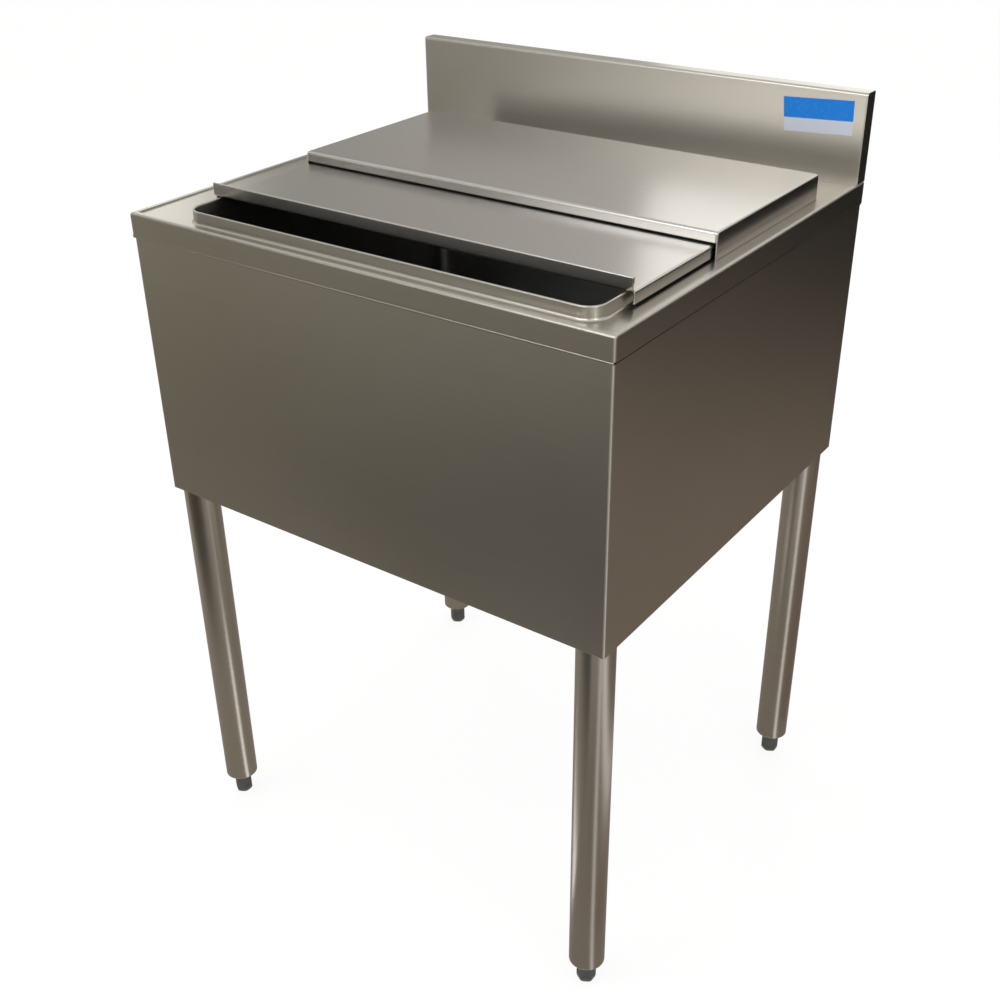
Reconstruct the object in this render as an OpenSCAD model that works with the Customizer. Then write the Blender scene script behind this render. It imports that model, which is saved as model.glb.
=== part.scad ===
// Underbar ice bin with cold plate, on four legs, with a sliding front lid.
// Millimetres. Origin on the floor below the middle of the body, front towards -Y, +Z up.

/* [Overall] */
// Width over the turned-down edge of the top
unit_w = 609.6; // [580:0.1:760]
// Depth from the front edge to the back of the body
unit_d = 539.75; // [520:0.05:640]
// Height of the deck above the floor
deck_z = 819.15; // [760:0.05:900]
// How far the apron reaches below the leg channels
apron_drop = 26.75; // [15:0.05:60]
// Height of the backsplash above the deck
splash_h = 101.6; // [60:0.1:200]
// Thickness of the backsplash, front to back
splash_d = 21; // [18:0.5:40]

/* [Sheet metal] */
// Thickness of the top, splash and lid sheet
top_t = 1.2; // [0.8:0.1:1.6]
// Thickness of the outer wrap
wrap_t = 1.2; // [0.8:0.1:1.6]
// Thickness of the back panel and bottom pan
pan_t = 1.2; // [0.8:0.1:1.6]
// Outer radius of the sheet's bends
bend_r = 3; // [2.5:0.1:4]
// How far the turned-down edge of the top reaches below the deck
band_h = 23.9; // [18:0.1:40]
// How far the turned-down edge stands proud of the wrap
band_step = 1.5; // [1.4:0.1:4]
// Width of the raised marine edge
edge_w = 7; // [5:0.5:10]
// Rise of the marine edge above the deck
edge_rise = 1.5; // [1.3:0.1:2.5]
// Width of the inward return along the wrap's lower edge and back edges
return_w = 15; // [10:1:20]

/* [Opening] */
// Distance from the left edge to the rim
open_left = 73.3; // [24:0.1:90]
// Distance from the right edge to the rim
open_right = 28.3; // [24:0.1:90]
// Distance from the front edge to the rim
open_front = 14.5; // [13:0.5:20]
// Distance from the rim to the splash
open_back = 75.65; // [20:0.05:90]
// Height of the rim above the deck
rim_h = 14; // [10:0.5:18]
// How much larger the opening's corners are than the cove at the liner's floor
corner_extra = 2.5; // [1:0.5:12]

/* [Bin] */
// Depth of the bin from the rim to its floor
bin_depth = 279.4; // [265:0.1:290]
// Thickness of the liner
liner_t = 1.2; // [0.8:0.1:1.6]
// Radius of the cove between the liner's walls and its floor
cove_r = 15; // [8:0.5:16]
// Thickness of the foam under the liner's floor
foam_floor = 22; // [15:0.5:26]
// Height of the bottom pan's front and back lips
pan_lip = 12; // [8:0.5:16]

/* [Lids] */
// Depth of the front lid, front to back
front_lid_d = 235; // [180:0.5:236]
// How far the front lid stands open at rest
front_lid_open = 48; // [0:0.5:90]
// How far the front lid reaches past the rim on each side
front_over = 7; // [3:0.1:14]
// Depth of the front lid's side skirts
front_skirt = 12.7; // [8:0.1:13]
// Height of the upturned handle above the front lid
handle_h = 13.5; // [8:0.5:25]
// Distance from the handle's end to the lid's side
handle_inset = 0.5; // [0.5:0.5:10]
// How far the closed front lid reaches in under the rear lid
lid_lap = 37; // [20:0.5:60]
// How far the rear lid reaches past the rim at the back
rear_back = 6.9; // [4:0.1:15]
// Gap between the side skirts of the two lids
lid_side_gap = 2.5; // [2:0.1:5]
// Height of the rear lid's top above the deck
rear_lid_h = 28.5; // [26:0.5:32]
// Gap between the rear lid's front flange and the front lid
flange_gap = 2; // [1:0.1:3]
// Gap between a lid and what it rests on
seat_gap = 0.3; // [0.2:0.05:0.5]

/* [Cold plate] */
// Gap between the casting and the liner's side walls
plate_side = 31.5; // [20:0.5:80]
// Height of the casting above its feet
plate_h = 45; // [40:1:60]
// Gap between the drain flange and the casting
plate_gap = 6; // [3:0.5:40]
// Height of the casting's feet
plate_foot_h = 4; // [2:0.5:8]
// Corner radius of the casting
plate_r = 10; // [4:0.5:20]
// Number of drain grooves in the casting's top
groove_n = 13; // [5:1:21]
// Width of a drain groove
groove_w = 8; // [4:0.5:12]
// Depth of a drain groove
groove_deep = 3; // [1:0.5:6]
// Number of product circuits, each with an inlet and an outlet tube
circuits = 8; // [2:1:9]
// Outside diameter of the product tubes
tube_od = 7.94; // [6.35:0.01:9]
// Wall of the product tubes
tube_wall = 0.9; // [0.5:0.1:1.2]
// Distance between neighbouring tubes of a row
tube_pitch = 22; // [18:0.5:24]
// Distance from the casting to the inlet row, and from there to the outlet row
tube_row = 17; // [16:0.5:18]
// Centre-line radius of the tube bends
tube_bend = 12; // [9:0.5:13]
// How far the tubes reach below the apron
tube_drop = 42.6; // [40:0.1:80]
// Length of the bare tube end below its hose bead
tube_tail_h = 25; // [15:1:40]

/* [Drain] */
// Distance of the drain to the left of the bin's middle
drain_left = 150; // [100:1:200]
// Gap between the cove at the liner's front wall and the drain flange
drain_gap = 3; // [1:0.5:20]
// Outside diameter of the drain flange
drain_flange_d = 56; // [50:1:58]
// Outside diameter of the drain pipe
pipe_od = 33.4; // [26.7:0.1:36]
// Bore of the drain pipe
pipe_id = 26.6; // [18:0.1:26.6]
// How far the drain pipe reaches below the apron
drain_drop = 37.6; // [37:0.1:80]
// Length of the threaded tail at the pipe's lower end
tail_h = 35; // [20:1:40]
// Height of the drain locknut
nut_h = 9; // [6:0.5:10]

/* [Legs] */
// Outside diameter of the leg tubes
leg_od = 41.3; // [38:0.1:42]
// Wall of the leg tubes
leg_wall = 1.5; // [1.2:0.1:2]
// Gap between a leg tube and the wrap's inner face
leg_gap = 0.65; // [0.5:0.05:4]
// Width of a leg mounting channel
chan_w = 56; // [50:1:70]
// Height of a leg mounting channel
chan_h = 20; // [18:0.5:22]
// Thickness of a leg mounting channel
chan_t = 3; // [2:0.5:4]
// Height of the plug in a leg's top
plug_h = 20; // [10:1:40]
// Diameter of the threaded studs
stud_d = 12; // [10:0.5:13]

/* [Feet] */
// Height of the foot's hexagonal head
foot_h = 13.5; // [10:0.5:20]
// Width of the foot's head across its flats
foot_af = 19.5; // [18:0.5:22]
// Height of the taper between the leg tube and the foot
taper_h = 10; // [6:0.5:16]
// Diameter of the taper's lower end
nose_d = 24; // [22:0.5:28]
// Length of the foot sleeve inside the leg tube
sleeve_in = 40; // [30:1:60]
// Length of the foot's stud
foot_stud_h = 48; // [40:1:52]

/* [Hidden] */
$fn = 64;
// Clearance between sheets and parts that are welded, pressed or clamped together
fit = 0.1;
// Radial clearance of a foot's stud in its sleeve
stud_fit = 0.06;
// Overlap of cutting tools past the faces that they cut
cut = 1;

front_y = -unit_d / 2;
back_y = unit_d / 2;
rim_z = deck_z + rim_h;
// Part of a sheet's width that runs into its neighbour, so that the two are one piece
lap = 0.5;
// The same for the parts of a turned form
weld = 0.01;

// Raised rim: centre of the opening and the foot bend round it
open_w = unit_w - open_left - open_right;
open_d = unit_d - open_front - open_back - splash_d;
open_x = (open_left - open_right) / 2;
open_y = front_y + open_front + open_d / 2;
rim_r = cove_r + liner_t + top_t + fit + corner_extra;

// Liner, inside the rim
liner_w = open_w - 2 * (top_t + fit);
liner_d = open_d - 2 * (top_t + fit);
liner_r = rim_r - top_t - fit;
liner_floor_z = rim_z - bin_depth;
liner_base_z = liner_floor_z - liner_t;
liner_front_y = open_y - liner_d / 2 + liner_t;
liner_back_y = open_y + liner_d / 2 - liner_t;
cap_r = top_t + fit / 2;

// Wrap and panels under the top
wrap_w = unit_w - 2 * band_step;
wrap_front_y = front_y + band_step;
inner_w = wrap_w - 2 * wrap_t;
inner_front_y = wrap_front_y + wrap_t;
inner_back_y = back_y - pan_t;
deck_under_z = deck_z - top_t;
pan_z = liner_base_z - foam_floor;
splash_y = back_y - splash_d;

// Tubes and the plate that seals them in, from the cove at the liner's back wall forwards
slot_side = 10;
slot_end = 7;
slot_d = tube_row + 2 * slot_end;
seal_lap_x = 6;
seal_lap_y = 3;
seal_gap = 4.6;
seal_d = slot_d + 2 * seal_lap_y;
seal_y = liner_back_y - cove_r - seal_gap - seal_d / 2;
inlet_y = seal_y - tube_row / 2;
outlet_y = inlet_y + tube_row;

// Drain, behind the cove at the liner's front wall
drain_x = open_x - drain_left;
drain_y = liner_front_y + cove_r + drain_gap + drain_flange_d / 2;

// Cold plate, between the drain and the tubes
plate_z = liner_floor_z + plate_foot_h;
plate_w = liner_w - 2 * liner_t - 2 * plate_side;
plate_front_y = drain_y + drain_flange_d / 2 + plate_gap;
plate_back_y = inlet_y - tube_row;
plate_d = plate_back_y - plate_front_y;
inlet_share = 0.3;
outlet_share = 0.7;
inlet_z = plate_z + plate_h * inlet_share;
outlet_z = plate_z + plate_h * outlet_share;
tube_x = [for (i = [0 : circuits - 1]) open_x + (i - (circuits - 1) / 2) * tube_pitch];
row_w = (circuits - 1) * tube_pitch;
slot_w = row_w + 2 * slot_side;
seal_r = 3;
seal_w = slot_w + 2 * seal_lap_x;
seal_t = 1.5;
grommet_wall = 1.8;
grommet_r = tube_od / 2 + grommet_wall;
grommet_lip = 1;
bead_h = 2;
bead_rise = 0.8;

// Legs' channels, and the apron that hides them
chan_z = pan_z - pan_t - chan_h;
body_z = chan_z - apron_drop;
tube_end_z = body_z - tube_drop;

// Drain fittings
drain_end_z = body_z - drain_drop;
drain_flange_t = 3;
relief = 1;
tail_z = drain_end_z + relief;
groove_z = tail_z + tail_h;
flange_edge = 1;
bowl_r = pipe_id / 2 + 6;
strainer_t = 1.2;
gasket_t = 2.5;
washer_t = 1.5;
gasket_inset = 2;
washer_inset = 3;
locknut_ratio = 1.45;
nut_af = pipe_od * locknut_ratio;
wrench_room = 8;
drain_clear_r = nut_af / 2 / cos(30) + wrench_room;

// Lids
front_lid_w = open_w + 2 * front_over;
closed_gap = 1.5;
closed_y = front_y + open_front + closed_gap;
front_lid_front_y = closed_y + front_lid_open;
front_lid_z = rim_z + seat_gap;
front_lid_top_z = front_lid_z + top_t;
rear_lid_w = front_lid_w + 2 * (lid_side_gap + top_t);
rear_lid_back_y = front_y + open_front + open_d + rear_back;
rear_lid_d = rear_lid_back_y - closed_y - front_lid_d + lid_lap;
rear_lid_mid_y = rear_lid_back_y - rear_lid_d / 2;
rear_lid_top_z = deck_z + rear_lid_h;
hem_h = 5;

// Legs and feet
leg_r = leg_od / 2;
leg_x = inner_w / 2 - leg_gap - leg_r;
leg_y = -inner_front_y - leg_gap - leg_r;
bore_r = leg_r - leg_wall;
chan_x = inner_w / 2 - pan_t - 2 * fit - chan_w / 2;
leg_top_z = chan_z - fit;
sleeve_z = foot_h + seat_gap;
leg_base_z = sleeve_z + taper_h;
stud_washer_t = 2.5;
stud_nut_h = 10;
stud_proud = 2;
stud_nut_ratio = 1.58;
sleeve_edge = 0.8;
sleeve_lead = 1;
foot_edge = 0.9;
notch_r = leg_r + 1.5;

// Rectangle with round corners, centred
module round_rect(w, d, r) {
  square([w - 2 * r, d], center = true);
  square([w, d - 2 * r], center = true);
  for (x = [-1, 1], y = [-1, 1]) translate([x * (w / 2 - r), y * (d / 2 - r)]) circle(r);
}

// Quarter of a sheet's bend: outer radius r, sheet t, in the quadrant of the signs sx, sy
module bend_section(r, t, sx, sy) {
  intersection() {
    difference() {
      circle(r);
      circle(r - t);
    }
    translate([sx < 0 ? -r : 0, sy < 0 ? -r : 0]) square(r);
  }
}

// Sweeps a section round a rectangle with round corners.
// The section's x runs outwards from the path and its y is the height.
module ring_sweep(w, d, r) {
  for (i = [0 : 3]) {
    half_x = (i % 2 == 0 ? w : d) / 2;
    half_y = (i % 2 == 0 ? d : w) / 2;
    rotate(90 * i) {
      translate([half_x, half_y - r, 0]) rotate([90, 0, 0]) linear_extrude(2 * (half_y - r)) children();
      translate([half_x - r, half_y - r, 0]) rotate_extrude(angle = 90) translate([r, 0]) children();
    }
  }
}

// Sweeps a section along the left side, the front and the right side of the top
module front_sweep(w, y0, y1, r) {
  for (side = [0, 1]) mirror([side, 0, 0]) {
    translate([w / 2, y1, 0]) rotate([90, 0, 0]) linear_extrude(y1 - y0 - r) children();
    translate([w / 2 - r, y0 + r, 0]) rotate(-90) rotate_extrude(angle = 90) translate([r, 0]) children();
  }
  rotate(-90) translate([-y0, w / 2 - r, 0]) rotate([90, 0, 0]) linear_extrude(w - 2 * r) children();
}

// Rectangle from y0 to y1, with its two front corners rounded
module front_rounded(w, y0, y1, r) {
  translate([0, (y0 + y1) / 2]) intersection() {
    translate([0, r]) round_rect(w, y1 - y0 + 2 * r, r);
    square([w, y1 - y0], center = true);
  }
}

// Strip of width t inside a U of sides and front, open at the back
module u_strip(w, y0, y1, t) {
  difference() {
    translate([-w / 2, y0]) square([w, y1 - y0]);
    translate([-w / 2 + t, y0 + t]) square([w - 2 * t, y1 - y0]);
  }
}

// The same strip with its front corners bent to the outer radius r
module u_bent(w, y0, y1, t, r) {
  difference() {
    front_rounded(w, y0, y1, r);
    front_rounded(w - 2 * t, y0 + t, y1 + t, max(r - t, fit));
  }
}

// Section of the top's outer edge: marine edge, rolled bend, turned-down band and its return
module edge_section() {
  translate([-bend_r, edge_rise - bend_r]) bend_section(bend_r, top_t, 1, 1);
  translate([-top_t, -band_h]) square([top_t, band_h + edge_rise - bend_r]);
  translate([-band_step + fit, -band_h]) square([band_step - fit, top_t]);
}

// Section of the raised rim: foot bend, upright lip and the round weld bead on its top
module rim_section() {
  foot_r = bend_r;
  translate([foot_r, foot_r]) bend_section(foot_r + top_t, top_t, -1, -1);
  translate([foot_r, -top_t]) square([lap, top_t]);
  translate([-top_t, foot_r]) square([top_t, rim_h - cap_r - foot_r]);
  translate([-cap_r, rim_h - cap_r]) intersection() {
    circle(cap_r);
    translate([-cap_r, 0]) square([2 * cap_r, cap_r]);
  }
}

module top_deck() {
  // the bend and the deck reach part of the way into the sheet beside them
  tongue = top_t / 6;
  deck_edge = edge_w - top_t / 2;
  color([0.74, 0.73, 0.70]) {
    translate([0, 0, deck_z]) {
      front_sweep(unit_w, front_y, back_y, bend_r) edge_section();
      // marine edge: its raised flat and the small step down to the deck
      translate([0, 0, edge_rise - top_t]) linear_extrude(top_t)
        u_strip(unit_w - 2 * bend_r, front_y + bend_r, back_y, edge_w - bend_r);
      translate([0, 0, edge_rise - 0.75 * top_t]) linear_extrude(top_t / 2)
        u_strip(unit_w - 2 * (bend_r - tongue), front_y + bend_r - tongue, back_y, 2 * tongue);
      translate([0, 0, -top_t]) linear_extrude(edge_rise + top_t)
        u_strip(unit_w - 2 * (edge_w - top_t), front_y + edge_w - top_t, back_y, top_t);
    }
    // deck, with the opening cut to the outer line of the rim's foot bend
    translate([0, 0, deck_under_z]) linear_extrude(top_t) difference() {
      translate([0, deck_edge / 2]) square([unit_w - 2 * deck_edge, unit_d - deck_edge], center = true);
      translate([open_x, open_y]) round_rect(open_w + 2 * bend_r, open_d + 2 * bend_r, rim_r + bend_r);
    }
    translate([open_x, open_y, deck_z]) ring_sweep(open_w, open_d, rim_r) rim_section();
  }
}

module backsplash() {
  top = deck_z + splash_h;
  rear_h = 28;
  notch_w = edge_w + fit;
  color([0.74, 0.73, 0.70]) difference() {
    rotate([90, 0, 90]) translate([0, 0, -unit_w / 2 + top_t]) linear_extrude(unit_w - 2 * top_t) {
      translate([splash_y, deck_z]) square([top_t, splash_h - bend_r]);
      translate([splash_y, deck_z]) square([return_w, top_t]);
      translate([splash_y + bend_r, top - bend_r]) bend_section(bend_r, top_t, -1, 1);
      translate([splash_y + bend_r, top - top_t]) square([splash_d - 2 * bend_r, top_t]);
      translate([back_y - bend_r, top - bend_r]) bend_section(bend_r, top_t, 1, 1);
      translate([back_y - top_t, top - rear_h]) square([top_t, rear_h - bend_r]);
    }
    // corners notched to pass over the marine edge
    for (side = [-1, 1]) translate([side * (unit_w / 2 - notch_w / 2), splash_y + splash_d / 2, deck_z])
      cube([notch_w, splash_d + 2 * cut, 2 * (edge_rise + fit)], center = true);
  }
}

module splash_end(side) {
  color([0.72, 0.71, 0.68]) translate([side > 0 ? unit_w / 2 - top_t : -unit_w / 2, 0, 0])
    rotate([90, 0, 90]) linear_extrude(top_t) {
      translate([splash_y, deck_z + edge_rise]) square([splash_d, splash_h - edge_rise - bend_r]);
      translate([splash_y + bend_r, deck_z + splash_h - bend_r]) square([splash_d - 2 * bend_r, bend_r]);
      for (y = [splash_y + bend_r, back_y - bend_r])
        translate([y, deck_z + splash_h - bend_r]) circle(bend_r);
    }
}

module leg_places() {
  for (x = [-leg_x, leg_x], y = [-leg_y, leg_y]) translate([x, y]) children();
}

module outer_wrap() {
  top = deck_under_z - fit;
  color([0.42, 0.39, 0.34]) {
    translate([0, 0, body_z]) linear_extrude(top - body_z)
      u_bent(wrap_w, wrap_front_y, inner_back_y, wrap_t, bend_r);
    // inward return along the lower edge, notched round the legs
    translate([0, 0, body_z]) linear_extrude(wrap_t) difference() {
      u_bent(wrap_w, wrap_front_y, inner_back_y, return_w, bend_r);
      leg_places() circle(notch_r);
    }
    // inward returns at the back, behind the back panel's edges
    for (side = [-1, 1])
      translate([side * (inner_w / 2 - return_w / 2), inner_back_y - wrap_t / 2, body_z])
        linear_extrude(top - body_z) square([return_w + 2 * fit, wrap_t], center = true);
  }
}

module back_panel() {
  color([0.55, 0.54, 0.52]) translate([-wrap_w / 2, inner_back_y, body_z])
    cube([wrap_w, pan_t, deck_under_z - fit - body_z]);
}

module bottom_pan() {
  w = inner_w - 2 * fit;
  y0 = inner_front_y + fit;
  y1 = inner_back_y - wrap_t - fit;
  lip_w = 2 * (chan_x - chan_w / 2 - fit);
  color([0.55, 0.54, 0.52]) difference() {
    union() {
      translate([0, 0, pan_z - pan_t]) linear_extrude(pan_t) front_rounded(w, y0, y1, bend_r);
      // lips along the front and the back, between the leg channels
      for (y = [y0, y1 - pan_t]) translate([-lip_w / 2, y, pan_z - pan_t - pan_lip])
        cube([lip_w, pan_t, pan_lip + pan_t / 2]);
    }
    translate([drain_x, drain_y, pan_z - pan_t - cut]) cylinder(h = pan_t + 2 * cut, r = drain_clear_r);
    translate([open_x, seal_y, pan_z - pan_t - cut]) linear_extrude(pan_t + 2 * cut)
      square([slot_w, slot_d], center = true);
  }
}

// Outer or inner form of the liner, as a solid tub
module tub(w, d, r, rc, z0, z1) {
  translate([open_x, open_y, 0]) {
    translate([0, 0, z0 + rc]) linear_extrude(z1 - z0 - rc) round_rect(w, d, r);
    translate([0, 0, z0]) linear_extrude(rc + weld) round_rect(w - 2 * rc, d - 2 * rc, r - rc);
    ring_sweep(w, d, r) translate([-rc, z0 + rc]) intersection() {
      circle(rc);
      translate([0, -rc]) square([rc, rc + weld]);
    }
  }
}

module bin_liner() {
  wall_top = rim_z - cap_r - fit;
  color([0.62, 0.61, 0.58]) difference() {
    tub(liner_w, liner_d, liner_r, cove_r + liner_t, liner_base_z, wall_top);
    tub(liner_w - 2 * liner_t, liner_d - 2 * liner_t, liner_r - liner_t, cove_r,
      liner_floor_z, wall_top + cut);
    translate([drain_x, drain_y, liner_base_z - cut]) cylinder(h = liner_t + 2 * cut, r = pipe_od / 2 + fit);
    translate([open_x, seal_y, liner_base_z - cut]) linear_extrude(liner_t + 2 * cut)
      square([slot_w, slot_d], center = true);
  }
}

module foam_insulation() {
  foam_w = inner_w - 2 * fit;
  y0 = inner_front_y + fit;
  y1 = inner_back_y - wrap_t - fit;
  top = deck_under_z - bend_r;
  color([0.85, 0.78, 0.55]) difference() {
    translate([0, 0, pan_z]) linear_extrude(top - pan_z) front_rounded(foam_w, y0, y1, bend_r);
    tub(liner_w + 2 * fit, liner_d + 2 * fit, liner_r + fit, cove_r + liner_t, liner_base_z, top + cut);
    translate([drain_x, drain_y, pan_z - cut]) cylinder(h = foam_floor + 2 * cut, r = drain_clear_r);
    translate([open_x, seal_y, pan_z - cut]) linear_extrude(foam_floor + 2 * cut)
      square([slot_w, slot_d], center = true);
  }
}

module mount_channel(side) {
  y0 = inner_front_y + fit;
  y1 = inner_back_y - wrap_t - fit;
  color([0.50, 0.50, 0.50]) difference() {
    translate([side * chan_x - chan_w / 2, y0, chan_z]) cube([chan_w, y1 - y0, chan_h - fit]);
    translate([side * chan_x - chan_w / 2 + chan_t, y0 - cut, chan_z + chan_t])
      cube([chan_w - 2 * chan_t, y1 - y0 + 2 * cut, chan_h]);
    for (y = [-leg_y, leg_y]) translate([side * leg_x, y, chan_z - cut])
      cylinder(h = chan_t + 2 * cut, r = stud_d / 2 + 2 * fit);
  }
}

module cold_plate() {
  groove_pitch = plate_w / (groove_n + 1);
  foot_r = 12;
  color([0.70, 0.71, 0.72]) translate([open_x, (plate_front_y + plate_back_y) / 2, plate_z]) {
    difference() {
      linear_extrude(plate_h) round_rect(plate_w, plate_d, plate_r);
      for (i = [1 : groove_n])
        translate([(i - (groove_n + 1) / 2) * groove_pitch, 0, plate_h + groove_w / 2 - groove_deep])
          rotate([90, 0, 0]) cylinder(h = plate_d + 2 * cut, r = groove_w / 2, center = true);
    }
    // feet that hold the casting off the liner's floor
    for (x = [-1, 1], y = [-1, 1])
      translate([x * (plate_w / 2 - 2 * foot_r), y * (plate_d / 2 - 2 * foot_r), fit - plate_foot_h])
        cylinder(h = plate_foot_h - fit, r = foot_r);
  }
}

// One product tube: out of the casting, round a bend and down through the floor
module product_tube(x, y, z) {
  r = tube_od / 2;
  translate([x, 0, z]) {
    translate([0, plate_back_y, 0]) rotate([-90, 0, 0]) tube_run(y - tube_bend - plate_back_y);
    translate([0, y - tube_bend, -tube_bend]) rotate([90, 0, 90]) rotate_extrude(angle = 90)
      translate([tube_bend, 0]) ring_2d(r, r - tube_wall);
    translate([0, y, tube_end_z - z]) tube_run(z - tube_bend - tube_end_z);
    // bead that stops the hose
    translate([0, y, tube_end_z + tube_tail_h - z]) linear_extrude(bead_h)
      ring_2d(r + bead_rise, r - tube_wall);
  }
}

module ring_2d(outer, inner) {
  difference() {
    circle(outer);
    circle(inner);
  }
}

module tube_run(h) {
  linear_extrude(h) ring_2d(tube_od / 2, tube_od / 2 - tube_wall);
}

module inlet_tubes() {
  color([0.80, 0.80, 0.80]) for (x = tube_x) product_tube(x, inlet_y, inlet_z);
}

module outlet_tubes() {
  color([0.76, 0.77, 0.78]) for (x = tube_x) product_tube(x, outlet_y, outlet_z);
}

module tube_holes(r) {
  for (x = tube_x, y = [inlet_y, outlet_y]) translate([x, y]) circle(r);
}

module tube_seal_plate() {
  color([0.66, 0.66, 0.65]) translate([0, 0, liner_floor_z]) linear_extrude(seal_t) difference() {
    translate([open_x, seal_y]) round_rect(seal_w, seal_d, seal_r);
    tube_holes(grommet_r);
  }
}

module tube_grommets() {
  z0 = liner_floor_z - grommet_lip - fit;
  h = seal_t + 2 * (grommet_lip + fit);
  color([0.12, 0.12, 0.12]) for (x = tube_x, y = [inlet_y, outlet_y])
    translate([x, y, z0]) difference() {
      union() {
        cylinder(h = h, r = grommet_r - fit);
        cylinder(h = grommet_lip, r = grommet_r + grommet_lip);
        translate([0, 0, h - grommet_lip]) cylinder(h = grommet_lip, r = grommet_r + grommet_lip);
      }
      translate([0, 0, -cut]) cylinder(h = h + 2 * cut, r = tube_od / 2 + fit);
    }
}

module drain_body() {
  color([0.68, 0.67, 0.64]) translate([drain_x, drain_y, 0]) rotate_extrude() polygon([
    [pipe_id / 2, drain_end_z],
    [pipe_od / 2 - relief, drain_end_z],
    [pipe_od / 2, tail_z],
    [pipe_od / 2, groove_z],
    [pipe_od / 2 - relief, groove_z],
    [pipe_od / 2 - relief, groove_z + 2 * relief],
    [pipe_od / 2, groove_z + 2 * relief],
    [pipe_od / 2, liner_floor_z],
    [drain_flange_d / 2, liner_floor_z],
    [drain_flange_d / 2, liner_floor_z + flange_edge],
    [bowl_r + 2 * flange_edge, liner_floor_z + drain_flange_t],
    [bowl_r, liner_floor_z + drain_flange_t],
    [bowl_r, liner_floor_z + flange_edge],
    [pipe_id / 2, liner_floor_z + flange_edge]
  ]);
}

module drain_strainer() {
  hole_r = 1.8;
  ring_step = 5;
  color([0.78, 0.78, 0.77]) translate([drain_x, drain_y, liner_floor_z + flange_edge + fit])
    linear_extrude(strainer_t) difference() {
      circle(bowl_r - 2 * fit);
      circle(hole_r);
      for (ring = [1 : 2], i = [0 : 6 * ring - 1])
        rotate(i * 60 / ring) translate([ring * ring_step, 0]) circle(hole_r);
    }
}

module pipe_ring(z, outer_r, h) {
  translate([drain_x, drain_y, z]) difference() {
    cylinder(h = h, r = outer_r);
    translate([0, 0, -cut]) cylinder(h = h + 2 * cut, r = pipe_od / 2 + fit);
  }
}

module drain_gasket() {
  color([0.10, 0.10, 0.10])
    pipe_ring(liner_base_z - fit - gasket_t, drain_flange_d / 2 - gasket_inset, gasket_t);
}

module drain_washer() {
  color([0.62, 0.30, 0.18])
    pipe_ring(liner_base_z - 2 * fit - gasket_t - washer_t, drain_flange_d / 2 - washer_inset, washer_t);
}

module drain_locknut() {
  z = liner_base_z - 3 * fit - gasket_t - washer_t - nut_h;
  color([0.72, 0.70, 0.62]) translate([drain_x, drain_y, z]) difference() {
    cylinder(h = nut_h, d = nut_af / cos(30), $fn = 6);
    translate([0, 0, -cut]) cylinder(h = nut_h + 2 * cut, r = pipe_od / 2 + fit);
  }
}

module front_lid() {
  plate_y = front_lid_front_y + bend_r;
  side_x = front_lid_w / 2;
  handle_w = front_lid_w - 2 * handle_inset;
  color([0.82, 0.81, 0.79]) translate([open_x, 0, 0]) {
    // flat of the lid
    translate([-side_x + bend_r, plate_y, front_lid_z])
      cube([front_lid_w - 2 * bend_r, front_lid_d - bend_r, top_t]);
    // side skirts with their bends
    for (side = [0, 1]) mirror([side, 0, 0]) translate([0, plate_y + front_lid_d - bend_r, front_lid_top_z])
      rotate([90, 0, 0]) linear_extrude(front_lid_d - bend_r) {
        translate([side_x - bend_r, -bend_r]) bend_section(bend_r, top_t, 1, 1);
        translate([side_x - top_t, -front_skirt]) square([top_t, front_skirt - bend_r]);
      }
    // upturned handle along the front edge, with a round hem
    translate([-handle_w / 2, front_lid_front_y, front_lid_z]) rotate([90, 0, 90]) linear_extrude(handle_w) {
      translate([bend_r, bend_r]) bend_section(bend_r, top_t, -1, -1);
      translate([0, bend_r]) square([top_t, handle_h - bend_r]);
      translate([top_t, handle_h]) intersection() {
        circle(top_t);
        translate([-top_t, 0]) square([2 * top_t, top_t]);
      }
      translate([top_t, handle_h - hem_h]) square([top_t, hem_h]);
    }
  }
}

module rear_lid() {
  skirt = rear_lid_h - seat_gap;
  front_flange = rear_lid_top_z - front_lid_top_z - flange_gap;
  color([0.84, 0.83, 0.81]) translate([open_x, rear_lid_mid_y, rear_lid_top_z]) difference() {
    union() {
      translate([0, 0, -top_t]) linear_extrude(top_t)
        square([rear_lid_w - 2 * bend_r, rear_lid_d - 2 * bend_r], center = true);
      ring_sweep(rear_lid_w, rear_lid_d, bend_r) {
        translate([-bend_r, -bend_r]) bend_section(bend_r, top_t, 1, 1);
      }
      translate([0, 0, -skirt]) linear_extrude(skirt - bend_r) difference() {
        round_rect(rear_lid_w, rear_lid_d, bend_r);
        round_rect(rear_lid_w - 2 * top_t, rear_lid_d - 2 * top_t, bend_r - top_t);
      }
    }
    // the front flange stops above the front lid, from one side skirt to the other
    translate([-rear_lid_w / 2 + top_t, -rear_lid_d / 2 - cut, -skirt - cut])
      cube([rear_lid_w - 2 * top_t, bend_r + cut, skirt + cut - front_flange]);
  }
}

module leg_tube(x, y) {
  color([0.50, 0.46, 0.41]) translate([x, y, leg_base_z]) linear_extrude(leg_top_z - leg_base_z)
    ring_2d(leg_r, bore_r);
}

// Plug welded in a leg's top, with the stud that goes up through the channel
module leg_plug(x, y) {
  stud_top = chan_z + chan_t + stud_washer_t + stud_nut_h + stud_proud;
  color([0.55, 0.55, 0.54]) translate([x, y, 0]) {
    translate([0, 0, leg_top_z - plug_h]) cylinder(h = plug_h, r = bore_r - fit);
    cylinder_between(leg_top_z - plug_h, stud_top, stud_d / 2);
  }
}

module cylinder_between(z0, z1, r) {
  translate([0, 0, z0]) cylinder(h = z1 - z0, r = r);
}

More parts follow.
